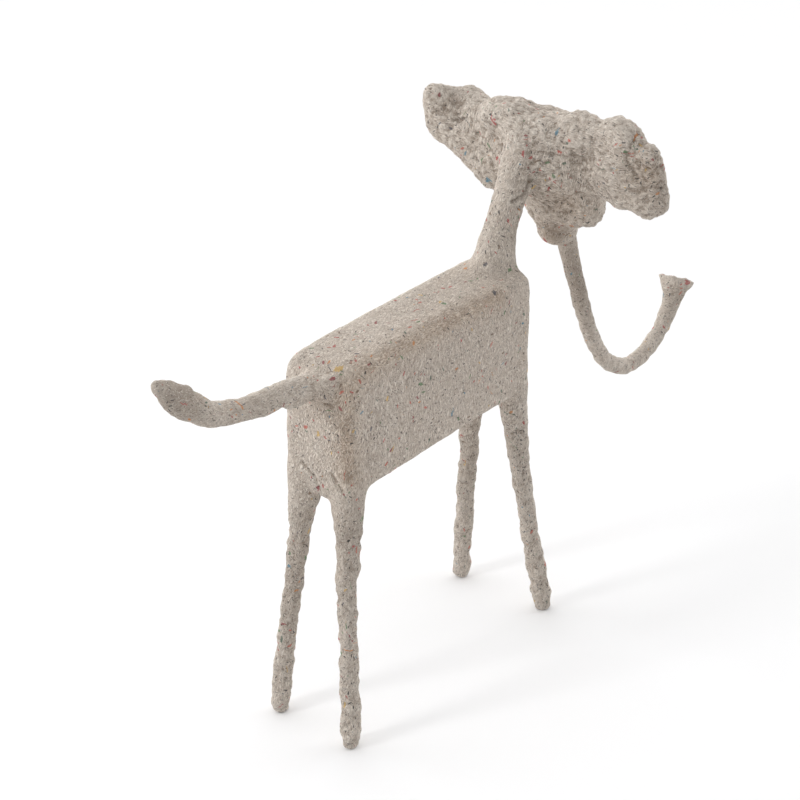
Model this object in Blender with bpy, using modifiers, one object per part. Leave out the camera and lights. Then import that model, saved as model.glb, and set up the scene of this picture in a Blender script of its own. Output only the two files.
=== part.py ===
"""A papier-mache elephant: one hand-laid skin of paper pulp over a boxy body, with four stick legs, a neck
that rises from the chest, a wide lumpy head whose ears run out to both sides, a trunk that hangs and curls
up to a flared tip, and a tail that sweeps back and up to a pointed tuft.

Metres, +Z up. The elephant faces -Y and its left side is at +X. It stands on the floor at z = 0, on four
small flats, and the middle of the whole statue's outer box is at x = 0, y = 0.
"""

import math

import bmesh
import bpy
from mathutils import Matrix, Vector, noise

# The body: a box with rounded edges, the roundest across the top of the rump.
BODY_LENGTH = 0.239
BODY_WIDTH = 0.069
BODY_DEPTH = 0.107
BELLY_HEIGHT = 0.218
EDGE_ROUNDING = 0.020
ROUNDEST = {"rump_top": 1.0, "chest_top": 0.45, "back": 0.62, "uprights": 0.50, "belly": 0.40}
SIDE_TROUGH = 0.0022

# The legs' thickness, and how far in from the body's faces the hips sit.
LEG_DIAMETER = 0.0182
HIP_DIAMETER = 0.0255
HIP_INSET = 0.0125

# Each leg's side and end of the body, how far the foot stands out from the hip across and along the body,
# and how far the leg bows along the body on its way down.
LEGS = {
    "rear_left": (1, 1, 0.0155, 0.0205, (-0.0020, -0.0020, -0.0014, 0.0006)),
    "rear_right": (-1, 1, 0.0175, 0.0226, (0.0000, 0.0018, 0.0030, 0.0004)),
    "front_left": (1, -1, 0.0196, 0.0211, (-0.0034, -0.0040, -0.0024, 0.0000)),
    "front_right": (-1, -1, 0.0244, 0.0226, (0.0026, 0.0044, 0.0042, 0.0015)),
}

# The neck, which leans forwards out of the body's front end.
NECK_DIAMETER = 0.029
NECK_INSET = 0.018

# The head's middle, above the back and ahead of the chest, and the head's size.
HEAD_RISE = 0.078
HEAD_FORWARD = 0.050
HEAD_HEIGHT = 0.110
HEAD_DEPTH = 0.070
EAR_SPAN = 0.246

# The trunk, from the mouth to its tip.
TRUNK_DIAMETER = 0.0168
TRUNK_DROP = 0.180
TRUNK_REACH = 0.200
TRUNK_TIP_WIDTH = 0.041

# The tail, from the rump to its tip.
TAIL_DIAMETER = 0.0175
TAIL_REACH = 0.167
TAIL_RISE = 0.071
TUFT_HEIGHT = 0.030
TUFT_THICKNESS = 0.019

# The paper skin that fuses it all into one piece.
SKIN_GRAIN = 0.0034
SKIN_SMOOTHING = 5
TRIANGLES = 9600

PULP_COLOUR = (0.52, 0.47, 0.42, 1.0)

RUMP_Y = BODY_LENGTH / 2
CHEST_Y = -BODY_LENGTH / 2
BACK_HEIGHT = BELLY_HEIGHT + BODY_DEPTH
HEAD_CENTRE = Vector((0, CHEST_Y - HEAD_FORWARD, BACK_HEIGHT + HEAD_RISE))


def clear_scene():
    for obj in list(bpy.data.objects):
        bpy.data.objects.remove(obj, do_unlink=True)


def new_collection(name):
    made = bpy.data.collections.new(name)
    bpy.context.scene.collection.children.link(made)
    return made


def move_to(obj, collection):
    for current in list(obj.users_collection):
        current.objects.unlink(obj)
    collection.objects.link(obj)


def body_box(armature):
    """The body, whose edges are each rounded by their own share."""
    bpy.ops.mesh.primitive_cube_add(size=1, location=(0, 0, BELLY_HEIGHT + BODY_DEPTH / 2))
    body = bpy.context.object
    body.name = "body_shape"
    body.data.transform(Matrix.Diagonal((BODY_WIDTH, BODY_LENGTH, BODY_DEPTH, 1)))
    weights = body.data.attributes.new("bevel_weight_edge", "FLOAT", "EDGE")
    for edge in body.data.edges:
        ends = [body.data.vertices[i].co for i in edge.vertices]
        weights.data[edge.index].value = ROUNDEST[body_edge(*ends)]
    bevel = body.modifiers.new("rounding", "BEVEL")
    bevel.limit_method = "WEIGHT"
    bevel.width = EDGE_ROUNDING
    bevel.segments = 4
    move_to(body, armature)


def body_edge(start, end):
    """Which of the body's edges runs between these two corners."""
    if start.z != end.z:
        return "uprights"
    if start.z < 0:
        return "belly"
    if start.y != end.y:
        return "back"
    return "rump_top" if start.y > 0 else "chest_top"


def limb(name, stations, armature):
    """A round limb through stations of (point, diameter), smooth from one to the next."""
    line = bpy.data.curves.new(name, "CURVE")
    line.dimensions = "3D"
    line.bevel_depth = 0.5
    line.bevel_resolution = 4
    line.resolution_u = 8
    line.use_fill_caps = True
    spline = line.splines.new("BEZIER")
    spline.bezier_points.add(len(stations) - 1)
    for station, (point, diameter) in zip(spline.bezier_points, stations):
        station.co = point
        station.radius = diameter
        station.handle_left_type = station.handle_right_type = "AUTO"
    made = bpy.data.objects.new(name, line)
    armature.objects.link(made)


def lump(name, centre, radii, armature):
    """A rounded wad of pulp."""
    bpy.ops.mesh.primitive_uv_sphere_add(segments=24, ring_count=14, radius=1, location=centre)
    made = bpy.context.object
    made.name = name
    made.data.transform(Matrix.Diagonal((*radii, 1)))
    move_to(made, armature)


def legs(armature):
    for name, (side, end, out, along, bows) in LEGS.items():
        hip = Vector((side * (BODY_WIDTH / 2 - HIP_INSET), end * (BODY_LENGTH / 2 - HIP_INSET), 0))
        foot = hip + Vector((side * out, end * along, 0))
        hip.z = BELLY_HEIGHT + HIP_DIAMETER * 0.35
        stations = [(hip, HIP_DIAMETER * 1.15)]
        shares = (0.11, 0.28, 0.50, 0.75)
        widths = (HIP_DIAMETER, LEG_DIAMETER * 1.10, LEG_DIAMETER, LEG_DIAMETER)
        for share, width, bow in zip(shares, widths, bows):
            stations.append((hip.lerp(foot, share) + Vector((0, bow, 0)), width))
        for height, width in ((0.020, 0.99), (0.005, 0.97), (0.000, 0.84), (-0.003, 0.55)):
            stations.append((foot + (hip - foot) * (height / hip.z), LEG_DIAMETER * width))
        limb(f"{name}_leg_shape", stations, armature)
    for name, end in (("rear", 1), ("front", -1)):
        middle = Vector((0, end * (BODY_LENGTH / 2 - HIP_INSET), BELLY_HEIGHT))
        radii = Vector((BODY_WIDTH / 2 - HIP_INSET, HIP_DIAMETER * 0.42, HIP_DIAMETER * 0.42))
        lump(f"{name}_crotch_shape", middle, radii, armature)


def neck(armature):
    root = Vector((0, CHEST_Y + NECK_INSET, BACK_HEIGHT))
    crown = HEAD_CENTRE + Vector((0, HEAD_DEPTH * 0.26, HEAD_HEIGHT * 0.22))
    stations = [
        (root + Vector((0, -0.003, -0.014)), NECK_DIAMETER * 1.75),
        (root.lerp(crown, 0.08), NECK_DIAMETER * 1.27),
        (root.lerp(crown, 0.28), NECK_DIAMETER * 1.0),
        (root.lerp(crown, 0.55), NECK_DIAMETER * 0.98),
        (root.lerp(crown, 0.80), NECK_DIAMETER * 1.05),
        (crown, NECK_DIAMETER * 1.1),
    ]
    limb("neck_shape", stations, armature)


def head(armature):
    """The head's wads: middle and radii, in shares of half the ear span, the head's depth and its height."""
    wads = {
        "brow": ((-0.02, 0.00, 0.18), (0.90, 0.21, 0.19)),
        "left_ear_tip": ((0.81, 0.12, 0.25), (0.130, 0.22, 0.145)),
        "left_ear_tip_low": ((0.77, 0.10, 0.06), (0.130, 0.21, 0.130)),
        "left_ear_rim": ((0.63, -0.12, 0.21), (0.26, 0.19, 0.15)),
        "left_ear": ((0.54, 0.02, 0.02), (0.28, 0.24, 0.23)),
        "left_ear_low": ((0.34, 0.00, -0.12), (0.25, 0.28, 0.25)),
        "crown_left": ((0.17, 0.15, 0.28), (0.26, 0.28, 0.16)),
        "crown": ((-0.10, 0.18, 0.26), (0.20, 0.26, 0.13)),
        "crown_right": ((-0.34, 0.12, 0.30), (0.20, 0.24, 0.15)),
        "right_ear_top": ((-0.66, 0.08, 0.32), (0.18, 0.24, 0.16)),
        "right_ear_fold": ((-0.66, 0.10, 0.12), (0.16, 0.20, 0.20)),
        "right_ear": ((-0.62, 0.00, 0.04), (0.31, 0.21, 0.29)),
        "right_ear_edge": ((-0.85, 0.00, 0.02), (0.17, 0.19, 0.23)),
        "right_ear_low": ((-0.87, 0.00, -0.14), (0.17, 0.19, 0.13)),
        "nape_left": ((0.18, 0.10, 0.04), (0.24, 0.24, 0.26)),
        "nape_right": ((-0.16, 0.10, -0.02), (0.22, 0.26, 0.28)),
        "skull": ((-0.04, -0.10, -0.02), (0.44, 0.38, 0.38)),
        "cheek": ((-0.14, -0.18, -0.28), (0.32, 0.31, 0.30)),
        "cheek_right": ((-0.32, -0.14, -0.34), (0.17, 0.24, 0.18)),
        "jaw": ((0.00, -0.28, -0.44), (0.22, 0.29, 0.22)),
        "chin": ((-0.03, -0.31, -0.63), (0.18, 0.26, 0.15)),
    }
    for name, (centre, radii) in wads.items():
        lump(f"{name}_shape", HEAD_CENTRE + head_share(centre), head_share(radii), armature)


def head_share(shares):
    return Vector((shares[0] * EAR_SPAN / 2, shares[1] * HEAD_DEPTH, shares[2] * HEAD_HEIGHT))


def trunk(armature):
    """Shares of the trunk's reach and drop, and of its diameter, from the mouth to the flared tip."""
    mouth = HEAD_CENTRE + Vector((0, -HEAD_DEPTH * 0.54, -HEAD_HEIGHT * 0.70))
    line = (
        (0.00, -0.10, 1.4),
        (0.045, 0.09, 1.14),
        (0.10, 0.254, 1.02),
        (0.197, 0.51, 1.0),
        (0.265, 0.66, 0.98),
        (0.335, 0.79, 0.98),
        (0.44, 0.91, 1.0),
        (0.575, 0.99, 1.0),
        (0.70, 1.00, 1.0),
        (0.80, 0.965, 1.0),
        (0.89, 0.90, 1.0),
        (0.95, 0.82, 1.04),
        (0.98, 0.755, 1.2),
    )
    stations = []
    for reach, drop, thickness in line:
        point = mouth + Vector((0, -reach * TRUNK_REACH, -drop * TRUNK_DROP))
        stations.append((point, thickness * TRUNK_DIAMETER))
    tip = mouth + Vector((0, -1.015 * TRUNK_REACH, -0.66 * TRUNK_DROP))
    stations.append((stations[-1][0].lerp(tip, 0.65), TRUNK_TIP_WIDTH * 0.75))
    stations.append((tip, TRUNK_TIP_WIDTH))
    limb("trunk_shape", stations, armature)


def tail(armature):
    """Shares of the tail's reach and rise, and of its diameter, from the rump to the tip of the tuft."""
    root = Vector((0, RUMP_Y, BACK_HEIGHT - 0.018))
    line = (
        (-0.15, -0.06, 1.8),
        (0.03, 0.015, 1.38),
        (0.16, 0.10, 1.10),
        (0.33, 0.15, 1.00),
        (0.48, 0.200, 1.04),
        (0.585, 0.26, 1.16),
        (0.68, 0.345, 1.22),
        (0.77, 0.525, 1.28),
        (0.88, 0.74, 1.1),
        (0.96, 0.92, 0.75),
        (1.005, 1.00, 0.25),
    )
    stations = []
    for reach, rise, thickness in line:
        point = root + Vector((0, reach * TAIL_REACH, rise * TAIL_RISE))
        stations.append((point, thickness * TAIL_DIAMETER))
    limb("tail_shape", stations, armature)
    for name, reach, rise, length in (("tuft_root", 0.81, 0.595, 0.45), ("tuft_end", 0.885, 0.73, 0.32)):
        middle = root + Vector((0, reach * TAIL_REACH, rise * TAIL_RISE))
        radii = Vector((TUFT_THICKNESS * 0.5, TUFT_HEIGHT * length, TUFT_HEIGHT * 0.47))
        lump(f"{name}_shape", middle, radii, armature)


def fused_mesh(armature):
    """All the shapes in one mesh, still running through each other."""
    graph = bpy.context.evaluated_depsgraph_get()
    together = bmesh.new()
    for shape in armature.objects:
        evaluated = shape.evaluated_get(graph)
        mesh = evaluated.to_mesh()
        mesh.transform(shape.matrix_world)
        together.from_mesh(mesh)
        evaluated.to_mesh_clear()
    mesh = bpy.data.meshes.new("elephant_statue")
    together.to_mesh(mesh)
    together.free()
    return mesh


def evaluated_mesh(obj):
    graph = bpy.context.evaluated_depsgraph_get()
    return bpy.data.meshes.new_from_object(obj.evaluated_get(graph))


def press(mesh):
    """Presses the marks of the maker's fingers into the skin: broad lumps on the head, small ones on the legs,
    and a soft trough down the body's sides below the back and ahead of the rump."""
    normals = [vertex.normal.copy() for vertex in mesh.vertices]
    for vertex, normal in zip(mesh.vertices, normals):
        place = vertex.co.copy()
        on_head = smooth_step((place.z - HEAD_CENTRE.z + HEAD_HEIGHT * 0.75) / (HEAD_HEIGHT * 0.3))
        on_head *= smooth_step((CHEST_Y - place.y) / 0.02) * smooth_step((place.y - CHEST_Y + 0.11) / 0.02)
        on_legs = smooth_step((BELLY_HEIGHT - place.z) / 0.03)
        broad = noise.noise(place / 0.022)
        fine = noise.noise(place / 0.009 + Vector((7, 3, 1)))
        lumps = broad * (0.0006 + 0.0030 * on_head) + fine * (0.0003 + 0.0008 * on_legs + 0.0014 * on_head)
        vertex.co = place + normal * (lumps - trough(place))


def trough(place):
    """How deep the soft trough in the body's side is here."""
    on_side = smooth_step((abs(place.x) - BODY_WIDTH * 0.38) / 0.005)
    below_back = bell((BACK_HEIGHT - place.z - 0.026) / 0.012)
    ahead_of_rump = bell((RUMP_Y - place.y - 0.024) / 0.012) * smooth_step((place.z - BELLY_HEIGHT) / 0.02)
    within = smooth_step((RUMP_Y - place.y) / 0.02) * smooth_step((place.y - CHEST_Y - 0.01) / 0.03)
    return SIDE_TROUGH * on_side * within * max(below_back, ahead_of_rump)


def bell(offset):
    return math.exp(-offset * offset)


def smooth_step(share):
    share = min(max(share, 0), 1)
    return share * share * (3 - 2 * share)


def stand_on_floor(mesh):
    """Cuts the feet flat at the floor."""
    shape = bmesh.new()
    shape.from_mesh(mesh)
    cut = bmesh.ops.bisect_plane(
        shape,
        geom=shape.verts[:] + shape.edges[:] + shape.faces[:],
        plane_co=(0, 0, 0),
        plane_no=(0, 0, -1),
        clear_outer=True,
    )
    rim = [piece for piece in cut["geom_cut"] if isinstance(piece, bmesh.types.BMEdge)]
    bmesh.ops.holes_fill(shape, edges=rim)
    bmesh.ops.recalc_face_normals(shape, faces=shape.faces[:])
    shape.to_mesh(mesh)
    shape.free()


def centre_on_origin(mesh):
    across = [vertex.co.x for vertex in mesh.vertices]
    along = [vertex.co.y for vertex in mesh.vertices]
    shift = Vector((-(min(across) + max(across)) / 2, -(min(along) + max(along)) / 2, 0))
    mesh.transform(Matrix.Translation(shift))
    return shift


def pulp_material():
    material = bpy.data.materials.new("paper_pulp")
    material.use_nodes = True
    shader = material.node_tree.nodes["Principled BSDF"]
    shader.inputs["Base Color"].default_value = PULP_COLOUR
    shader.inputs["Roughness"].default_value = 0.95
    shader.inputs["Metallic"].default_value = 0
    return material


def elephant():
    statue = new_collection("elephant statue")
    armature = new_collection("armature shapes")
    body_box(armature)
    legs(armature)
    neck(armature)
    head(armature)
    trunk(armature)
    tail(armature)
    bpy.context.view_layer.update()

    made = bpy.data.objects.new("elephant_statue", fused_mesh(armature))
    statue.objects.link(made)
    remesh = made.modifiers.new("skin", "REMESH")
    remesh.mode = "VOXEL"
    remesh.voxel_size = SKIN_GRAIN
    smooth = made.modifiers.new("smoothed by hand", "SMOOTH")
    smooth.factor = 0.5
    smooth.iterations = SKIN_SMOOTHING
    made.data = evaluated_mesh(made)
    made.modifiers.clear()
    press(made.data)

    faces = sum(len(polygon.vertices) - 2 for polygon in made.data.polygons)
    decimate = made.modifiers.new("fewer facets", "DECIMATE")
    decimate.ratio = min(1, TRIANGLES / faces)
    made.data = evaluated_mesh(made)
    made.modifiers.clear()
    stand_on_floor(made.data)
    shift = centre_on_origin(made.data)
    for shape in armature.objects:
        shape.location += shift
        shape.hide_render = True
        shape.display_type = "WIRE"
    made.data.materials.append(pulp_material())
    made.data.shade_smooth()
    made.data.set_sharp_from_angle(angle=math.radians(50))
    return made, shift


clear_scene()
statue_object, recentring = elephant()
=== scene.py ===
"""The elephant statue in its skin of paper pulp, on a pale floor in soft light."""

import math

import bmesh
import bpy
import numpy as np
from mathutils import Matrix, Vector, noise


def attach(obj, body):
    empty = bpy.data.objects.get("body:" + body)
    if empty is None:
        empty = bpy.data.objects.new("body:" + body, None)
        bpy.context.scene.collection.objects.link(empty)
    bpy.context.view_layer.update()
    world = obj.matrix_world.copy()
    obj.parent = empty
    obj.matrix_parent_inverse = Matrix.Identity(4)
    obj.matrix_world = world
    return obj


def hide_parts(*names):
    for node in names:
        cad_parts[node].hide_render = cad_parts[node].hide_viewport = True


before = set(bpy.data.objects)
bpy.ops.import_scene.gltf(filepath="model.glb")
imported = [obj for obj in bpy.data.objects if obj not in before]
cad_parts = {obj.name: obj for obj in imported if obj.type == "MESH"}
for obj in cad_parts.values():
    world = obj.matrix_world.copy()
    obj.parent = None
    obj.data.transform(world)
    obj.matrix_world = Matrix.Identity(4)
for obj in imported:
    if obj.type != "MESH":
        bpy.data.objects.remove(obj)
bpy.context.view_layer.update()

MM = 0.001

# The grain of the skin's mesh, and how far the head's wads are melted into each other
SKIN_STEP = 1.76 * MM
SKIN_ROUNDS = 4
MELT_ROUNDS = 19
MELT_SWELL = 0.9 * MM

# Wads of pulp added before the skin is laid: middle and radii in mm, and turn about the upright in degrees
WADS = {
    "tail_root_right": ((-10.0, 184.5, 308.5), (24.0, 9.0, 11.5), 54.6),
    "tail_root_under": ((5.0, 203.0, 308.0), (8.5, 22.0, 9.0), 0.0),
    "right_ear_shoulder": ((-104.0, -92.0, 431.0), (9.0, 10.0, 11.0), 0.0),
}

# Dabs and thumb marks in the skin: middle, radius and height above the skin around it, in mm
DABS = {
    "left_ear_cup": ((79.0, -90.0, 429.0), 11.0, -1.8),
    "left_ear_rim": ((101.0, -81.0, 436.0), 10.0, 1.4),
    "left_ear_top": ((84.0, -86.0, 446.0), 8.0, 1.5),
    "neck_ridge": ((17.0, -71.0, 430.0), 11.0, 1.8),
    "neck_ridge_top": ((15.5, -75.0, 444.0), 9.0, 1.2),
    "neck_base_left": ((18.0, -26.0, 338.0), 12.0, -2.6),
    "neck_base_right": ((-11.0, -41.0, 335.0), 13.0, 2.3),
    "cheek_hollow": ((-47.0, -90.0, 396.0), 11.0, -2.2),
    "cheek_hollow_top": ((-44.0, -88.0, 411.0), 9.0, -1.6),
    "right_ear_crest": ((-76.0, -82.0, 446.0), 13.0, 1.5),
    "right_ear_ridge": ((-87.0, -82.0, 438.0), 9.0, 1.5),
    "right_ear_outer": ((-113.0, -93.0, 408.0), 15.0, -2.2),
    "cheek_ledge": ((-52.0, -106.0, 358.0), 10.0, -2.4),
    "chin_left": ((20.0, -112.0, 335.0), 12.0, -5.0),
    "chin_bottom": ((-7.0, -109.0, 324.0), 7.0, 1.4),
    "head_top_dip": ((1.0, -109.0, 443.0), 11.0, -2.8),
    "rear_crotch_left": ((16.0, 177.0, 199.0), 9.0, 3.0),
    "rear_crotch_right": ((-8.0, 184.0, 203.0), 7.0, 1.4),
    "tail_under_root": ((2.0, 226.0, 300.0), 11.0, 2.2),
    "tail_under_middle": ((2.0, 246.0, 304.0), 12.0, 2.4),
    "tail_under_far": ((2.0, 264.0, 308.0), 10.0, 1.4),
    "tuft_neck": ((0.0, 313.0, 353.0), 8.0, -2.2),
    "rump_hollow": ((-27.0, 184.0, 240.0), 7.0, -1.6),
    "front_right_foot": ((-41.0, -60.0, 10.0), 14.0, 1.5),
    "tuft_point": ((1.0, 352.0, 372.0), 5.0, 1.5),
    "tuft_notch": ((1.5, 346.0, 375.0), 4.0, -1.2),
    "tuft_corner": ((1.0, 324.0, 361.0), 6.0, 1.2),
}

# Grooves pressed along a line: its points, its half width and its depth, in mm
GROOVES = {
    "back_trough": (
        ((-26, -3, 319), (-25, 47, 322), (-24, 98, 322), (-24, 146, 322),
         (-25, 166, 320), (-26, 181, 315)),
        8.0, 2.2),
    "rump_trough": (((-26, 181, 315), (-24, 188, 303), (-24, 188, 279), (-25, 187, 238)), 8.5, 2.8),
    "left_ear_slot": (((83, -85, 420), (76, -85, 422), (69, -86, 425)), 1.3, 2.0),
    "right_ear_fold": (
        ((-92, -94, 448), (-93, -85, 442), (-91, -83, 434), (-88, -82, 426),
         (-92, -84, 419), (-97, -86, 411)),
        1.8, 1.3),
    "right_ear_line": (((-91, -86, 400), (-104, -87, 403), (-116, -96, 405)), 1.6, 1.6),
    "thumb_patch": (((-8, -66, 392), (-8, -63, 385), (-8, -56, 382), (-5, -49, 381)), 1.9, 2.6),
    "under_brow": (((-12, -75, 418), (-24, -80, 416), (-36, -85, 417)), 1.6, 1.3),
    "cheek_wrinkle": (((-18, -80, 384), (-28, -86, 381), (-40, -92, 382)), 1.5, 1.3),
    "cheek_wrinkle_low": (((-2, -90, 368), (-12, -93, 362), (-26, -96, 359)), 1.6, 1.3),
    "chin_ledge": (((13, -100, 349), (9, -104, 342), (4, -105, 337)), 2.0, 1.5),
    "rump_crack": (((19, 190, 237), (13, 190, 233), (7, 189, 228), (4, 188, 219)), 1.8, 1.9),
    "rump_crack_right": (((-9, 190, 236), (-15, 190, 231), (-20, 190, 226)), 1.8, 1.9),
    "tail_crack": (((-2, 200, 301), (-6, 192, 296), (-12, 190, 295)), 1.8, 1.8),
}

# Which grooves hold a warm painted shade, how strong the other spots of painted shade are, and their middle
# and radius in mm
WARM_SHADED_GROOVES = ("back_trough", "rump_trough")
WARM_SHADE_SPOT_STRENGTH = 0.7
WARM_SHADE_SPOTS = {
    "tail_root": ((-8.0, 190.0, 300.0), 16.0),
    "cheek": ((-24.0, -92.0, 372.0), 20.0),
    "chin": ((-6.0, -106.0, 334.0), 14.0),
    "right_ear": ((-104.0, -90.0, 412.0), 18.0),
}

# Where the pulp is painted greyer as shade: middle and radius in mm, and how much greyer
GREY_SHADE_SPOTS = {
    "trunk": ((5.0, -156.0, 275.0), 62.0, 0.85),
    "chin": ((-6.0, -108.0, 334.0), 14.0, 0.55),
    "cheek": ((-28.0, -92.0, 372.0), 24.0, 0.15),
    "right_ear": ((-110.0, -90.0, 405.0), 24.0, 0.25),
    "trunk_tip": ((5.0, -338.0, 190.0), 40.0, 0.30),
    "tuft": ((3.0, 332.0, 364.0), 34.0, 0.85),
    "tail": ((5.0, 270.0, 318.0), 44.0, 0.45),
    "front_left_leg": ((42.0, -50.0, 130.0), 70.0, 0.40),
    "rear_left_leg": ((38.0, 198.0, 125.0), 75.0, 0.50),
    "rear_right_leg": ((-34.0, 200.0, 185.0), 45.0, 0.50),
}

# Where printed scraps lie close together: middle and radius in mm
PRINTED = {
    "rump_corner": ((-18.0, 176.0, 318.0), 21.0),
    "rear_right_leg": ((-34.0, 199.0, 94.0), 22.0),
    "rear_left_leg": ((41.0, 198.0, 72.0), 18.0),
    "right_ear": ((-90.0, -84.0, 432.0), 16.0),
    "head_middle": ((-16.0, -76.0, 398.0), 20.0),
}

# Depth of each kind of relief in mm: on the body, and its gain on the head, on any limb and on the legs
RELIEF = {
    "broad_lumps": (0.32, 1.00, 0.60, 0.50),
    "middling_lumps": (0.28, 0.85, 0.55, 0.35),
    "crumbs": (0.24, 0.50, 0.22, 0.15),
    "wide_creases": (0.12, 0.55, 0.00, 0.40),
    "fine_creases": (0.08, 0.38, 0.00, 0.15),
    "holes": (0.06, 0.30, 0.40, 0.00),
}
EAR_EDGE_CRUMBS = 0.90

# The trunk's flared tip: its middle and radius in mm, which way it opens, and which side stands higher
TRUNK_TIP = (5.2, -340.4, 207.2)
TRUNK_TIP_AIM = (0.0, -0.379, 0.925)
TRUNK_TIP_HIGH_SIDE = (-0.617, 0.787, 0.0)
TRUNK_TIP_TILT = 2.2
TRUNK_TIP_RADIUS = 18.0
TRUNK_MOUTH_RADIUS = 13.0
TRUNK_MOUTH_DEPTH = 5.0

# Where the camera stands, as the photograph was taken
CAMERA_PLACE = (-0.8697, 1.2014, 1.0000)
CAMERA_ELEVATION = 27.8
CAMERA_AZIMUTH = 218.1
CAMERA_LENS = 91.26

# The room's light: how bright each part is, which sides the white walls are on, and the one lamp
ROOM_LIGHT = 0.250
OVERHEAD_LIGHT = 0.82
WALL_LIGHT = 3.3
LEFT_LIGHT = 0.8
WALL_SIDE = (0.617, -0.787, 0.0)
LEFT_SIDE = (0.787, 0.617, 0.0)
KEY_PLACE = (0.75, 1.75, 1.30)
KEY_AIM = (0.0, 0.05, 0.20)
KEY_SIZE = 0.4
KEY_WATTS = 10.0

# The floor's white, the pulp's own colours, the ink's, and the colours of painted shade, as linear red,
# green and blue
FLOOR_WHITE = (0.885, 0.885, 0.890, 1.0)
PULP_PALE = (0.585, 0.505, 0.432, 1.0)
PULP_WARM = (0.475, 0.388, 0.316, 1.0)
PULP_GREY = (0.360, 0.312, 0.272, 1.0)
# Painted shade: the duller grey laid where less light falls
DULL_SHADE = (0.352, 0.296, 0.247, 1.0)
PULP_WHITE = (0.800, 0.740, 0.665, 1.0)
# Painted shade: a brown for crevices, dips and the gaps between strands, and a warm tint multiplied over
# troughs and shaded spots
SHADE_BROWN = (0.230, 0.180, 0.140, 1.0)
WARM_SHADE_TINT = (0.915, 0.850, 0.790, 1.0)
INK = (0.040, 0.040, 0.044, 1.0)
INK_BROWN = (0.120, 0.078, 0.056, 1.0)

# How strongly the lay turns the small fibres, and the long ones and the scraps, its own way
LOOSE_LAY = 0.45
CROSSED_LAY = 0.15

# The coloured scraps: the share of the tint from which each colour shows, and the colour
SCRAP_COLOURS = (
    (0.00, (0.420, 0.045, 0.050, 1.0)),
    (0.20, (0.550, 0.110, 0.080, 1.0)),
    (0.33, (0.260, 0.030, 0.045, 1.0)),
    (0.42, (0.600, 0.230, 0.060, 1.0)),
    (0.50, (0.620, 0.400, 0.120, 1.0)),
    (0.57, (0.090, 0.210, 0.090, 1.0)),
    (0.68, (0.050, 0.120, 0.085, 1.0)),
    (0.75, (0.060, 0.230, 0.330, 1.0)),
    (0.85, (0.050, 0.060, 0.090, 1.0)),
    (0.91, (0.170, 0.110, 0.070, 1.0)),
)


def smooth_step(low, high, value):
    """Nought below low, one above high, and a soft rise between."""
    share = np.clip((value - low) / (high - low), 0.0, 1.0)
    return share * share * (3.0 - 2.0 * share)


# Steps of shading

class Shading:
    """Adds nodes to one tree and joins them, so that a material reads in the order it is made."""

    def __init__(self, tree):
        self.tree = tree

    def node(self, kind, **settings):
        """A node of that kind with its settings."""
        made = self.tree.nodes.new(kind)
        for name, value in settings.items():
            setattr(made, name, value)
        return made

    def join(self, value, socket):
        """Puts a number, a colour or another node's output into a socket."""
        if isinstance(value, bpy.types.NodeSocket):
            self.tree.links.new(value, socket)
        else:
            socket.default_value = value

    def number(self, operation, first, second=None, third=None):
        """One step of arithmetic on numbers."""
        made = self.node("ShaderNodeMath", operation=operation)
        for socket, value in zip(made.inputs, (first, second, third)):
            if value is not None:
                self.join(value, socket)
        return made.outputs["Value"]

    def vector(self, operation, first, second=None, scale=None):
        """One step of arithmetic on vectors. A dot product comes out as a number."""
        made = self.node("ShaderNodeVectorMath", operation=operation)
        self.join(first, made.inputs[0])
        if second is not None:
            self.join(second, made.inputs[1])
        if scale is not None:
            self.join(scale, made.inputs["Scale"])
        return made.outputs["Value" if operation == "DOT_PRODUCT" else "Vector"]

    def spread(self, value, from_low, from_high, to_low, to_high):
        """A number stretched from one range to another, with soft ends."""
        made = self.node("ShaderNodeMapRange", interpolation_type="SMOOTHSTEP")
        settings = (value, from_low, from_high, to_low, to_high)
        names = ("Value", "From Min", "From Max", "To Min", "To Max")
        for name, setting in zip(names, settings):
            self.join(setting, made.inputs[name])
        return made.outputs["Result"]

    def mottle(self, place, size, detail, roughness):
        """Cloudy noise with patches of about that size in metres, from 0 to 1."""
        made = self.node("ShaderNodeTexNoise", noise_dimensions="3D")
        self.join(place, made.inputs["Vector"])
        made.inputs["Scale"].default_value = 1.0 / size
        made.inputs["Detail"].default_value = detail
        made.inputs["Roughness"].default_value = roughness
        return made.outputs["Fac"]

    def mark(self, name):
        """The number that the mesh keeps for each place under that name."""
        return self.node("ShaderNodeAttribute", attribute_name=name).outputs["Fac"]

    def mix(self, share, first, second, **settings):
        """The first where the share is 0, the second where it is 1."""
        made = self.node("ShaderNodeMix", **settings)
        for name, value in (("Factor", share), ("A", first), ("B", second)):
            self.join(value, made.inputs[name])
        return made.outputs["Result"]

    def between(self, share, first, second):
        """Two numbers mixed by a share."""
        return self.mix(share, first, second, data_type="FLOAT")

    def blend(self, share, first, second, kind="MIX"):
        """Two colours mixed by a share."""
        return self.mix(share, first, second, data_type="RGBA", blend_type=kind)


# Camera, floor and light

def set_camera():
    """The camera at the photograph's place and angle."""
    data = bpy.data.cameras.new("photo_camera")
    data.lens = CAMERA_LENS
    data.sensor_width = 36.0
    data.clip_start = 0.05
    camera = bpy.data.objects.new("photo_camera", data)
    camera.location = CAMERA_PLACE
    camera.rotation_euler = (
        math.radians(90.0 - CAMERA_ELEVATION), 0.0, math.radians(CAMERA_AZIMUTH))
    bpy.context.scene.collection.objects.link(camera)
    bpy.context.scene.camera = camera


def soft_box(name, place, aim, size, watts):
    """A square studio light at a place, turned to its aim."""
    data = bpy.data.lights.new(name, "AREA")
    data.shape = "SQUARE"
    data.size = size
    data.energy = watts
    lamp = bpy.data.objects.new(name, data)
    lamp.location = place
    lamp.rotation_euler = (Vector(place) - Vector(aim)).to_track_quat("Z", "Y").to_euler()
    bpy.context.scene.collection.objects.link(lamp)


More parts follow.
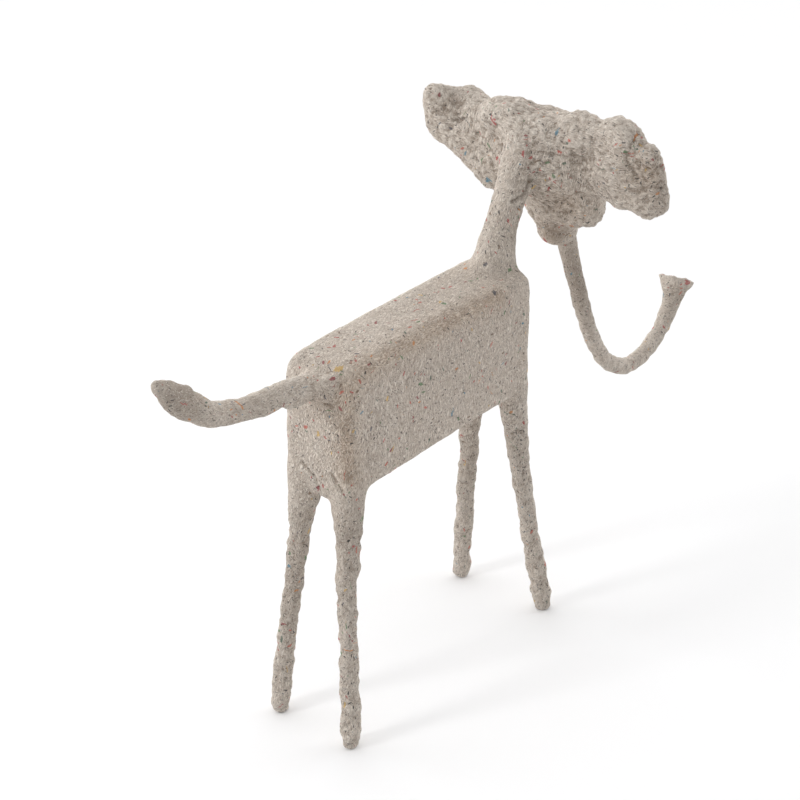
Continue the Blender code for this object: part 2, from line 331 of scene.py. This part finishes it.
def white_room():
    """Daylight from above, from behind the statue and from its left, and little from the camera's side."""
    world = bpy.data.worlds.new("white_room")
    world.use_nodes = True
    steps = Shading(world.node_tree)
    backdrop = world.node_tree.nodes["Background"]
    where = steps.node("ShaderNodeTexCoord").outputs["Generated"]
    height = steps.vector("DOT_PRODUCT", where, (0.0, 0.0, 1.0))
    behind = steps.vector("DOT_PRODUCT", where, WALL_SIDE)
    leftward = steps.vector("DOT_PRODUCT", where, LEFT_SIDE)
    wall = steps.spread(behind, -0.25, 0.35, 0.0, WALL_LIGHT)
    left = steps.spread(leftward, 0.2, 0.9, 0.0, LEFT_LIGHT)
    low = steps.spread(height, 0.25, 0.70, 1.0, 0.0)
    glow = steps.number("MULTIPLY", steps.number("ADD", wall, left), low)
    overhead = steps.number("MULTIPLY", steps.number("MULTIPLY", height, height), OVERHEAD_LIGHT)
    total = steps.number("ADD", steps.number("ADD", glow, overhead), ROOM_LIGHT)
    seen = steps.node("ShaderNodeLightPath").outputs["Is Camera Ray"]
    steps.join(steps.between(seen, total, 1.0), backdrop.inputs["Strength"])
    backdrop.inputs["Color"].default_value = (1.0, 1.0, 1.0, 1.0)
    bpy.context.scene.world = world


def set_studio():
    """A white room, a white floor and one soft box to the camera's left."""
    white_room()
    soft_box("key_light", KEY_PLACE, KEY_AIM, KEY_SIZE, KEY_WATTS)

    bpy.ops.mesh.primitive_plane_add(size=40.0, location=(0.0, 0.0, 0.0))
    floor = bpy.context.object
    floor.name = "floor"
    floor.data.materials.append(floor_material())


def floor_material():
    """A plain matt white floor."""
    material = bpy.data.materials.new("white_floor")
    material.use_nodes = True
    shader = material.node_tree.nodes["Principled BSDF"]
    shader.inputs["Base Color"].default_value = FLOOR_WHITE
    shader.inputs["Roughness"].default_value = 0.9
    shader.inputs["Specular IOR Level"].default_value = 0.1
    return material


# The skin's mesh

def add_wads(mesh):
    """Presses the extra wads into the mesh, still running through it."""
    shape = bmesh.new()
    shape.from_mesh(mesh)
    for middle, radii, turn in WADS.values():
        place = Matrix.Translation(Vector(middle) * MM)
        place @= Matrix.Rotation(math.radians(turn), 4, "Z")
        place @= Matrix.Diagonal((*(radius * MM for radius in radii), 1.0))
        bmesh.ops.create_icosphere(shape, subdivisions=3, radius=1.0, matrix=place)
    shape.to_mesh(mesh)
    shape.free()


def even_skin(node):
    """The solid's own form again, as one fine even mesh with its facets smoothed away."""
    skin = bpy.data.objects.new("pulp_skin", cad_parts[node].data.copy())
    bpy.context.scene.collection.objects.link(skin)
    skin.data.materials.clear()
    add_wads(skin.data)
    sewing = skin.modifiers.new("sewing", "WELD")
    sewing.merge_threshold = 0.01 * MM
    rounding = skin.modifiers.new("rounding", "SUBSURF")
    rounding.levels = 1
    rounding.render_levels = 1
    grain = skin.modifiers.new("grain", "REMESH")
    grain.mode = "VOXEL"
    grain.voxel_size = SKIN_STEP
    easing = skin.modifiers.new("easing", "SMOOTH")
    easing.factor = 0.5
    easing.iterations = SKIN_ROUNDS
    graph = bpy.context.evaluated_depsgraph_get()
    mesh = bpy.data.meshes.new_from_object(skin.evaluated_get(graph))
    skin.modifiers.clear()
    skin.data = mesh
    mesh.name = "pulp_skin"
    return skin


def places_of(mesh):
    """Each vertex's place, as rows of x, y and z in metres."""
    flat = np.empty(len(mesh.vertices) * 3, np.float32)
    mesh.vertices.foreach_get("co", flat)
    return flat.reshape(-1, 3).astype(float)


def normals_of(mesh):
    """Which way the skin faces at each vertex."""
    flat = np.empty(len(mesh.vertices) * 3, np.float32)
    mesh.vertex_normals.foreach_get("vector", flat)
    return flat.reshape(-1, 3).astype(float)


def lumps(places, size, seed):
    """Soft lumps of about that size, from -1 to 1."""
    shift = Vector((7.31 * seed, 3.17 * seed, 5.73 * seed))
    return np.array([noise.noise(Vector(place) / size + shift) for place in places])


def pits(places, spacing, radius, seed):
    """Small holes, in about half of the cells of that spacing: 1 in the middle, 0 outside."""
    shift = Vector((2.9 * seed, 8.3 * seed, 4.1 * seed))
    depth = np.zeros(len(places))
    for row, place in enumerate(places):
        point = Vector(place) / spacing + shift
        distances, centres = noise.voronoi(point)
        if noise.cell(centres[0] * 57.0) < 0.0:
            depth[row] = max(0.0, 1.0 - (distances[0] * spacing / radius) ** 2)
    return depth


def creases(places, size, seed):
    """How near a place is to the line between two wads of pulp of about that size: 1 on the line."""
    shift = Vector((4.7 * seed, 1.3 * seed, 9.1 * seed))
    # Left to itself, this noise takes its seed from the clock
    noise.seed_set(seed)
    apart = np.zeros(len(places))
    for row, place in enumerate(places):
        point = Vector(place) / size + shift
        distances = noise.voronoi(point + 0.35 * noise.noise_vector(point * 1.7))[0]
        apart[row] = math.sqrt(distances[1]) - math.sqrt(distances[0])
    return smooth_step(0.34, 0.0, apart)


def put_back(mesh, places):
    """Moves the mesh's vertices to those places, and never below the floor."""
    places[:, 2] = np.maximum(places[:, 2], 0.0)
    mesh.vertices.foreach_set("co", places.astype(np.float32).ravel())
    mesh.update()


def keep_share(mesh, name, share):
    """Keeps a number for each vertex on the mesh, for the material to read."""
    kept = mesh.attributes.new(name, "FLOAT", "POINT")
    kept.data.foreach_set("value", share.astype(np.float32))


def eased(mesh, places, rounds):
    """The places after each has moved to the middle of its neighbours, that many times over."""
    ends = np.empty(len(mesh.edges) * 2, np.int32)
    mesh.edges.foreach_get("vertices", ends)
    first, second = ends.reshape(-1, 2).T
    count = len(places)
    neighbours = np.bincount(first, minlength=count) + np.bincount(second, minlength=count)
    for turn in range(rounds):
        total = np.zeros_like(places)
        for axis in range(3):
            total[:, axis] += np.bincount(first, places[second, axis], count)
            total[:, axis] += np.bincount(second, places[first, axis], count)
        places = total / neighbours[:, None]
    return places


def regions(places):
    """How far each place belongs to the head, a leg, the trunk and the tail, from 0 to 1."""
    y, z = places.T[1:]
    head = smooth_step(0.325, 0.350, z) * smooth_step(-0.045, -0.070, y)
    leg = smooth_step(0.205, 0.180, z) * smooth_step(-0.090, -0.070, y)
    trunk = smooth_step(-0.150, -0.165, y)
    tail = smooth_step(0.200, 0.220, y) * smooth_step(0.250, 0.280, z)
    return head, leg, trunk, tail


def melt_head(mesh):
    """Melts the head's wads into each other and gives back the thickness that this takes."""
    places = places_of(mesh)
    head = regions(places)[0][:, None]
    melted = places + (eased(mesh, places, MELT_ROUNDS) - places) * head
    put_back(mesh, melted + normals_of(mesh) * MELT_SWELL * head)


def closeness(places, points, reach):
    """How near each place is to any of the points, once they are drawn onto the skin: 1 there."""
    nearest = np.full(len(places), np.inf)
    for point in points:
        onto_skin = places[np.argmin(((places - point) ** 2).sum(axis=1))]
        nearest = np.minimum(nearest, ((places - onto_skin) ** 2).sum(axis=1))
    return np.exp(-nearest / (reach * MM) ** 2)


def near(places, middle, reach):
    """How near each place is to one point. The point and the reach are in mm."""
    return closeness(places, [np.array(middle) * MM], reach)


def along(points):
    """Points a millimetre apart along a line given in mm."""
    corners = np.array(points, float) * MM
    spots = []
    for start, end in zip(corners[:-1], corners[1:]):
        count = max(2, int(np.linalg.norm(end - start) / MM))
        spots.extend(start + (end - start) * share for share in np.linspace(0.0, 1.0, count))
    return spots


def press_marks(mesh):
    """The maker's dabs, thumb marks and grooves, where the pulp is printed, and where it gets painted
    shade, warm or greyer.
    """
    places = places_of(mesh)
    height = np.zeros(len(places))
    warm_shade = np.zeros(len(places))
    for middle, radius, rise in DABS.values():
        height += rise * near(places, middle, radius)
    for name, (points, width, depth) in GROOVES.items():
        line = along(points)
        height -= depth * closeness(places, line, width)
        # The troughs get a warm painted shade
        if name in WARM_SHADED_GROOVES:
            warm_shade = np.maximum(warm_shade, closeness(places, line, 1.5 * width))
    for middle, radius in WARM_SHADE_SPOTS.values():
        warm_shade = np.maximum(warm_shade, WARM_SHADE_SPOT_STRENGTH * near(places, middle, radius))
    printed = np.zeros(len(places))
    for middle, radius in PRINTED.values():
        printed = np.maximum(printed, near(places, middle, radius))
    grey_shade = np.zeros(len(places))
    for middle, radius, share in GREY_SHADE_SPOTS.values():
        grey_shade = np.maximum(grey_shade, share * near(places, middle, radius))
    put_back(mesh, places + normals_of(mesh) * (height * MM)[:, None])
    keep_share(mesh, "grey_shade", grey_shade)
    keep_share(mesh, "warm_shade", warm_shade)
    keep_share(mesh, "printed", printed)


def open_trunk_tip(mesh):
    """Hollows the trunk's flared end into a mouth with a torn rim."""
    places = places_of(mesh)
    aim = np.array(TRUNK_TIP_AIM)
    off = places - np.array(TRUNK_TIP) * MM
    rise = off @ aim / MM
    aside = off - (off @ aim)[:, None] * aim
    radius = np.linalg.norm(aside, axis=1) / MM
    at_rim = smooth_step(-7.0, -1.0, rise) * (radius < 1.5 * TRUNK_TIP_RADIUS)
    tilt = (aside @ np.array(TRUNK_TIP_HIGH_SIDE)) / MM / TRUNK_TIP_RADIUS
    torn = 1.2 * lumps(places, 7.0 * MM, 21) + 0.9 * lumps(places, 3.5 * MM, 22)
    bowl = np.clip(1.0 - (radius / TRUNK_MOUTH_RADIUS) ** 2, 0.0, 1.0)
    move = at_rim * (TRUNK_TIP_TILT * tilt + torn - TRUNK_MOUTH_DEPTH * bowl)
    put_back(mesh, places + aim * (move * MM)[:, None])


def press_relief(mesh):
    """Lumps, crumbs, creases and small holes, as hands leave them in wet pulp."""
    places = places_of(mesh)
    head, leg, trunk, tail = regions(places)
    limb = np.maximum(np.maximum(leg, trunk), tail)
    depth = {}
    for name, (everywhere, on_head, on_limb, on_leg) in RELIEF.items():
        depth[name] = everywhere + on_head * head + on_limb * limb + on_leg * leg
    ear_edge = head * smooth_step(-0.085, -0.105, places[:, 0])
    depth["crumbs"] += EAR_EDGE_CRUMBS * ear_edge
    height = lumps(places, 15.0 * MM, 1) * depth["broad_lumps"]
    height += lumps(places, 7.5 * MM, 2) * depth["middling_lumps"]
    height += lumps(places, 4.2 * MM, 3) * depth["crumbs"]
    height -= creases(places, 11.0 * MM, 1) * depth["wide_creases"]
    height -= creases(places, 6.5 * MM, 2) * depth["fine_creases"]
    height -= pits(places, 9.0 * MM, 1.6 * MM, 5) * depth["holes"]
    above_floor = smooth_step(0.2 * MM, 4.0 * MM, places[:, 2])
    put_back(mesh, places + normals_of(mesh) * (height * MM * above_floor)[:, None])


def mark_specks(mesh):
    """Keeps on the mesh how many dark specks each place shows: most on the legs, few on the back."""
    places = places_of(mesh)
    leg, trunk = regions(places)[1:3]
    upward = smooth_step(0.3, 0.9, normals_of(mesh)[:, 2])
    rim = smooth_step(-0.085, -0.112, places[:, 0])
    share = 0.50 + 0.35 * leg + 0.15 * trunk + 0.25 * rim - 0.30 * upward
    patches = 0.35 * lumps(places, 18.0 * MM, 31)
    keep_share(mesh, "specks", np.clip(share + patches, 0.0, 1.0))


def mark_hollows(mesh, name, rounds, depth):
    """Keeps on the mesh how far each place lies below the skin around it, from 0 to 1, level at a half. The
    material reads it to paint shade in hollows and highlights on crests.
    """
    places = places_of(mesh)
    off = eased(mesh, places, rounds) - places
    below = (off * normals_of(mesh)).sum(axis=1) / depth
    keep_share(mesh, name, np.clip(0.5 + 0.5 * below, 0.0, 1.0))


def mark_lay(mesh):
    """Keeps on the mesh which way the fibres were drawn: along each limb, and across the wide ear."""
    places = places_of(mesh)
    facing = normals_of(mesh)
    x, y, z = places.T
    head = (z > 0.335) & (y < -0.060)
    on_back = (facing[:, 2] > 0.6) & (z > 0.30) & (y > -0.06)
    on_tail = (y > 0.190) & (z > 0.28)
    on_neck = (y < 0.0) & (y > -0.075) & (z > 0.31)
    on_leg = (z < 0.205) & (y > -0.09)
    on_curl = (y < -0.15) & (z < 0.24)
    on_trunk = (y < -0.12) & (z >= 0.24) & (z < 0.34)
    on_right_ear = head & (x < -0.070)
    round_the_curl = np.stack([np.zeros_like(y), 0.235 - z, y + 0.268], axis=1)
    swirl = np.stack([lumps(places, 30.0 * MM, seed) for seed in (11, 12, 13)], axis=1)

    lay = np.tile((0.0, 0.35, 1.0), (len(places), 1))
    lay[on_back] = (0.15, 1.0, 0.0)
    lay[on_tail] = (0.0, 1.0, 0.35)
    lay[on_neck] = (0.0, -0.45, 1.0)
    lay[on_leg] = (0.0, 0.1, 1.0)
    lay[on_curl] = round_the_curl[on_curl]
    lay[on_trunk] = (0.0, 0.3, 1.0)
    lay[head] = swirl[head] * 1.6 + (0.35, 0.0, 0.35)
    lay[on_right_ear] = (1.0, 0.0, 0.25)
    lay += 0.5 * swirl
    lay -= facing * (lay * facing).sum(axis=1)[:, None]
    lay /= np.maximum(np.linalg.norm(lay, axis=1), 1e-6)[:, None]
    kept = mesh.attributes.new("lay", "FLOAT_VECTOR", "POINT")
    kept.data.foreach_set("vector", lay.astype(np.float32).ravel())


def shape_skin(mesh):
    """All the work on the skin, from the large forms to the small, and the marks that the colours read."""
    melt_head(mesh)
    press_marks(mesh)
    open_trunk_tip(mesh)
    press_relief(mesh)
    # Cavity marks that the material uses for painted shade in crevices and dips, and painted highlights on
    # crests
    mark_hollows(mesh, "crevice_shade_and_highlight", 2, 0.28 * MM)
    mark_hollows(mesh, "dip_shade", 29, 1.4 * MM)
    mark_specks(mesh)
    mark_lay(mesh)


# The pulp's material

def empty_group(name, given, made):
    """A node group with its named inputs, each with its kind, and its named outputs, all numbers."""
    tree = bpy.data.node_groups.new(name, "ShaderNodeTree")
    for socket, kind in given.items():
        tree.interface.new_socket(socket, in_out="INPUT", socket_type="NodeSocket" + kind)
    for socket in made:
        tree.interface.new_socket(socket, in_out="OUTPUT", socket_type="NodeSocketFloat")
    return tree


def strokes_group():
    """Short strokes that lie in the surface, each turned its own way: fibres, or torn flecks."""
    inputs = {
        "Place": "Vector", "Facing": "Vector", "Lay": "Vector", "Spacing": "Float",
        "Half length": "Float", "Half width": "Float", "Share kept": "Float", "Shift": "Vector",
    }
    tree = empty_group("Strokes in the surface", inputs, ("Mask", "Tint"))
    steps = Shading(tree)
    given = steps.node("NodeGroupInput").outputs
    result = steps.node("NodeGroupOutput")

    cells = steps.number("DIVIDE", 1.0, given["Spacing"])
    spot = steps.vector("SCALE", given["Place"], scale=cells)
    spot = steps.vector("ADD", spot, given["Shift"])
    voronoi = steps.node("ShaderNodeTexVoronoi", voronoi_dimensions="3D", feature="F1")
    voronoi.inputs["Scale"].default_value = 1.0
    steps.join(spot, voronoi.inputs["Vector"])
    centre = voronoi.outputs["Position"]
    off = steps.vector("SUBTRACT", spot, centre)

    heading = steps.vector("SUBTRACT", voronoi.outputs["Color"], (0.5, 0.5, 0.5))
    heading = steps.vector("ADD", heading, given["Lay"])
    depth = steps.vector("DOT_PRODUCT", heading, given["Facing"])
    through = steps.vector("SCALE", given["Facing"], scale=depth)
    forward = steps.vector("NORMALIZE", steps.vector("SUBTRACT", heading, through))
    across = steps.vector("CROSS_PRODUCT", given["Facing"], forward)

    luck = steps.node("ShaderNodeTexWhiteNoise", noise_dimensions="3D")
    steps.join(centre, luck.inputs["Vector"])
    chance = steps.node("ShaderNodeSeparateColor")
    steps.join(luck.outputs["Color"], chance.inputs["Color"])
    size = steps.spread(chance.outputs["Blue"], 0.0, 1.0, 0.55, 1.25)
    length = steps.number("MULTIPLY", steps.number("MULTIPLY", given["Half length"], cells), size)
    width = steps.number("MULTIPLY", steps.number("MULTIPLY", given["Half width"], cells), size)
    far = steps.number("DIVIDE", steps.vector("DOT_PRODUCT", off, forward), length)
    aside = steps.number("DIVIDE", steps.vector("DOT_PRODUCT", off, across), width)
    far_squared = steps.number("MULTIPLY", far, far)
    aside_squared = steps.number("MULTIPLY", aside, aside)
    reach = steps.number("ADD", far_squared, aside_squared)
    shape = steps.spread(reach, 0.55, 1.0, 1.0, 0.0)
    kept = steps.number("LESS_THAN", chance.outputs["Red"], given["Share kept"])
    steps.join(steps.number("MULTIPLY", shape, kept), result.inputs["Mask"])
    steps.join(chance.outputs["Green"], result.inputs["Tint"])
    return tree


def grain_group():
    """Fine strands drawn out along the lay, and the gaps between them, where the colour gets painted shade.
    """
    inputs = {"Place": "Vector", "Lay": "Vector"}
    tree = empty_group("Strands of fibre", inputs, ("Strand", "Gap"))
    steps = Shading(tree)
    given = steps.node("NodeGroupInput").outputs
    result = steps.node("NodeGroupOutput")

    drift = steps.node("ShaderNodeTexNoise", noise_dimensions="3D")
    drift.inputs["Scale"].default_value = 1.0 / (9.0 * MM)
    steps.join(given["Place"], drift.inputs["Vector"])
    bend = steps.vector("SUBTRACT", drift.outputs["Color"], (0.5, 0.5, 0.5))
    bent = steps.vector("ADD", given["Place"], steps.vector("SCALE", bend, scale=5.0 * MM))
    strands = []
    # Drawn out along x, along y and along z, in mm
    for stretch in ((5.5, 0.8, 0.8), (0.8, 5.5, 0.8), (0.8, 0.8, 5.5)):
        laid = steps.node("ShaderNodeMapping", vector_type="TEXTURE")
        laid.inputs["Rotation"].default_value = (0.22, -0.18, 0.15)
        laid.inputs["Scale"].default_value = tuple(size * MM for size in stretch)
        steps.join(bent, laid.inputs["Vector"])
        strands.append(steps.mottle(laid.outputs["Vector"], 1.0, 1.5, 0.55))
    lay = steps.node("ShaderNodeSeparateXYZ")
    steps.join(given["Lay"], lay.inputs["Vector"])
    runs = [steps.number("ABSOLUTE", lay.outputs[axis]) for axis in "XYZ"]
    over = steps.spread(steps.number("SUBTRACT", runs[1], runs[0]), -0.15, 0.15, 0.0, 1.0)
    flat = steps.between(over, strands[0], strands[1])
    level = steps.number("MAXIMUM", runs[0], runs[1])
    upright = steps.spread(steps.number("SUBTRACT", runs[2], level), -0.15, 0.15, 0.0, 1.0)
    strand = steps.between(upright, flat, strands[2])
    middle = steps.number("ABSOLUTE", steps.number("SUBTRACT", strand, 0.47))
    steps.join(strand, result.inputs["Strand"])
    steps.join(steps.spread(middle, 0.0, 0.035, 1.0, 0.0), result.inputs["Gap"])
    return tree


def place_strokes(steps, group, place, facing, lay, spacing, length, width, kept, shift):
    """The strokes group with sizes of its own, in metres. Gives its mask and its tint."""
    made = steps.node("ShaderNodeGroup", node_tree=group)
    steps.join(place, made.inputs["Place"])
    steps.join(lay, made.inputs["Lay"])
    steps.join(facing, made.inputs["Facing"])
    made.inputs["Spacing"].default_value = spacing
    steps.join(length, made.inputs["Half length"])
    steps.join(width, made.inputs["Half width"])
    steps.join(kept, made.inputs["Share kept"])
    made.inputs["Shift"].default_value = shift
    return made.outputs["Mask"], made.outputs["Tint"]


def scrap_colours(steps, tint):
    """The printed scraps' colours, one for each share of the tint."""
    ramp = steps.node("ShaderNodeValToRGB")
    steps.join(tint, ramp.inputs["Fac"])
    ramp.color_ramp.interpolation = "CONSTANT"
    stops = ramp.color_ramp.elements
    for row, (position, colour) in enumerate(SCRAP_COLOURS):
        stop = stops[row] if row < len(stops) else stops.new(position)
        stop.position = position
        stop.color = colour
    return ramp.outputs["Color"]


def shaken(steps, place):
    """The place shifted to and fro, a little and then more, which gives fibres and scraps torn edges."""
    shake = steps.node("ShaderNodeTexNoise", noise_dimensions="3D")
    shake.inputs["Scale"].default_value = 1.0 / (2.4 * MM)
    steps.join(place, shake.inputs["Vector"])
    wobble = steps.vector("SUBTRACT", shake.outputs["Color"], (0.5, 0.5, 0.5))
    torn = steps.vector("ADD", place, steps.vector("SCALE", wobble, scale=1.3 * MM))
    ragged = steps.vector("ADD", place, steps.vector("SCALE", wobble, scale=3.6 * MM))
    return torn, ragged


def pulp_ground(steps, place, grain, gap):
    """The pulp's colour under its fibres: cloudy, with painted shade in gaps, crevices, dips, troughs and
    shaded spots, and painted highlights on what stands up.
    """
    clouds = steps.mottle(place, 26.0 * MM, 3.0, 0.6)
    blotches = steps.mottle(place, 7.0 * MM, 3.0, 0.6)
    crevice_shade_and_highlight = steps.mark("crevice_shade_and_highlight")
    dip_shade = steps.mark("dip_shade")
    ground = steps.blend(steps.spread(clouds, 0.35, 0.65, 0.0, 0.35), PULP_PALE, PULP_WARM)
    ground = steps.blend(steps.spread(blotches, 0.45, 0.70, 0.0, 0.30), ground, PULP_GREY)
    ground = steps.blend(steps.spread(grain, 0.25, 0.47, 0.60, 0.0), ground, PULP_GREY)
    ground = steps.blend(steps.spread(grain, 0.47, 0.70, 0.0, 0.75), ground, PULP_WHITE)
    # Painted shade in the gaps between strands, in dips and in crevices
    ground = steps.blend(steps.number("MULTIPLY", gap, 0.42), ground, SHADE_BROWN)
    ground = steps.blend(steps.spread(dip_shade, 0.55, 1.0, 0.0, 0.15), ground, SHADE_BROWN)
    ground = steps.blend(steps.spread(crevice_shade_and_highlight, 0.55, 1.0, 0.0, 0.52), ground, SHADE_BROWN)
    # Painted highlight on what stands up
    ground = steps.blend(steps.spread(crevice_shade_and_highlight, 0.45, 0.10, 0.0, 0.35), ground, PULP_WHITE)
    # Painted shade: greyer, duller pulp in the shaded places
    ground = steps.blend(steps.mark("grey_shade"), ground, DULL_SHADE)
    # Warm painted shade in the troughs and shaded spots, broken up by the blotches
    warm_shade = steps.mark("warm_shade")
    warm_shade = steps.number("MULTIPLY", warm_shade, steps.spread(blotches, 0.25, 0.55, 0.55, 1.0))
    return steps.blend(warm_shade, ground, WARM_SHADE_TINT, "MULTIPLY")


def add_fibres(steps, strokes, colour, place, facing, loose, crossed):
    """Short pale, brown and black fibres over the colour. Gives the new colour and each layer's mask."""
    specks = steps.mark("specks")
    some = steps.spread(specks, 0.0, 1.0, 0.40, 0.90)
    few = steps.spread(specks, 0.0, 1.0, 0.25, 0.85)
    rare = steps.spread(specks, 0.0, 1.0, 0.04, 0.60)
    # Spacing, half length, half width, share kept, shift, least and most strength, ink and lay
    layers = (
        (2.4 * MM, 1.70 * MM, 0.26 * MM, 0.70, (2.3, 5.1, 0.7), 0.25, 0.75, PULP_WHITE, loose),
        (2.2 * MM, 1.20 * MM, 0.24 * MM, some, (0.0, 0.0, 0.0), 0.10, 0.50, INK_BROWN, loose),
        (3.1 * MM, 1.45 * MM, 0.30 * MM, few, (3.7, 1.9, 8.2), 0.15, 0.70, INK, loose),
        (5.0 * MM, 1.45 * MM, 0.55 * MM, rare, (6.1, 4.4, 2.3), 0.25, 0.85, INK, crossed),
    )
    masks = []
    for spacing, length, width, kept, shift, least, most, ink, heading in layers:
        mask, tint = place_strokes(
            steps, strokes, place, facing, heading, spacing, length, width, kept, shift)
        shown = steps.number("MULTIPLY", mask, steps.spread(tint, 0.0, 1.0, least, most))
        colour = steps.blend(shown, colour, ink)
        masks.append(mask)
    return colour, masks


def add_scraps(steps, strokes, colour, torn, ragged, facing, crossed):
    """Torn scraps of printed paper over the colour: flecks, slivers and wide bits. Gives the new colour."""
    printed = steps.mark("printed")
    wide_length = steps.spread(printed, 0.2, 0.8, 2.3 * MM, 3.3 * MM)
    wide_width = steps.spread(printed, 0.2, 0.8, 1.2 * MM, 1.8 * MM)
    # Spacing, half length, half width, least and most kept, shift, strength and place
    kinds = (
        (10.0 * MM, 2.0 * MM, 0.85 * MM, 0.28, 1.00, (2.6, 1.2, 8.4), 0.68, torn),
        (15.0 * MM, 3.6 * MM, 0.45 * MM, 0.16, 0.70, (5.2, 0.4, 3.9), 0.70, ragged),
        (17.0 * MM, wide_length, wide_width, 0.24, 1.00, (9.4, 2.7, 6.8), 0.72, ragged),
    )
    for spacing, length, width, least, most, shift, strength, place in kinds:
        kept = steps.spread(printed, 0.0, 1.0, least, most)
        scraps, tint = place_strokes(
            steps, strokes, place, facing, crossed, spacing, length, width, kept, shift)
        shown = steps.number("MULTIPLY", scraps, strength)
        colour = steps.blend(shown, colour, scrap_colours(steps, tint))
    return colour


def pulp_height(steps, place, grain, gap, standing):
    """How high the grain, the felt between its strands and the standing fibres rise, for the bump."""
    felt = steps.mottle(place, 1.1 * MM, 3.0, 0.65)
    height = steps.number("MULTIPLY_ADD", grain, 1.0, steps.number("MULTIPLY", felt, 0.5))
    height = steps.number("SUBTRACT", height, steps.number("MULTIPLY", gap, 0.18))
    for mask in standing:
        height = steps.number("MULTIPLY_ADD", mask, 0.16, height)
    return height


def pulp_material():
    """Dried paper pulp: pale grey grain, dark printed fibres and a few coloured scraps."""
    material = bpy.data.materials.new("paper_pulp")
    material.use_nodes = True
    steps = Shading(material.node_tree)
    shader = material.node_tree.nodes["Principled BSDF"]
    shader.inputs["Specular IOR Level"].default_value = 0.2
    where = steps.node("ShaderNodeTexCoord")
    place = where.outputs["Object"]
    facing = where.outputs["Normal"]
    torn, ragged = shaken(steps, place)

    lay = steps.node("ShaderNodeAttribute", attribute_name="lay").outputs["Vector"]
    strands = steps.node("ShaderNodeGroup", node_tree=grain_group())
    steps.join(place, strands.inputs["Place"])
    steps.join(lay, strands.inputs["Lay"])
    grain = strands.outputs["Strand"]
    gap = strands.outputs["Gap"]

    strokes = strokes_group()
    loose = steps.vector("SCALE", lay, scale=LOOSE_LAY)
    crossed = steps.vector("SCALE", lay, scale=CROSSED_LAY)
    colour = pulp_ground(steps, place, grain, gap)
    colour, fibres = add_fibres(steps, strokes, colour, torn, facing, loose, crossed)
    colour = add_scraps(steps, strokes, colour, torn, ragged, facing, crossed)
    steps.join(colour, shader.inputs["Base Color"])
    rough = steps.spread(grain, 0.3, 0.7, 0.98, 0.88)
    steps.join(rough, shader.inputs["Roughness"])

    pale_fibres, brown_fibres = fibres[:2]
    bump = steps.node("ShaderNodeBump")
    bump.inputs["Strength"].default_value = 1.0
    bump.inputs["Distance"].default_value = 1.1 * MM
    height = pulp_height(steps, place, grain, gap, (pale_fibres, brown_fibres))
    steps.join(height, bump.inputs["Height"])
    steps.join(bump.outputs["Normal"], shader.inputs["Normal"])
    return material


def dress_statue():
    """The pulp skin in place of the plain solid."""
    skin = even_skin("elephant_statue")
    shape_skin(skin.data)
    for face in skin.data.polygons:
        face.use_smooth = True
    skin.data.materials.append(pulp_material())
    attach(skin, "root")
    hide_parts("elephant_statue")


bpy.context.scene.view_settings.view_transform = "Standard"
set_camera()
set_studio()
dress_statue()
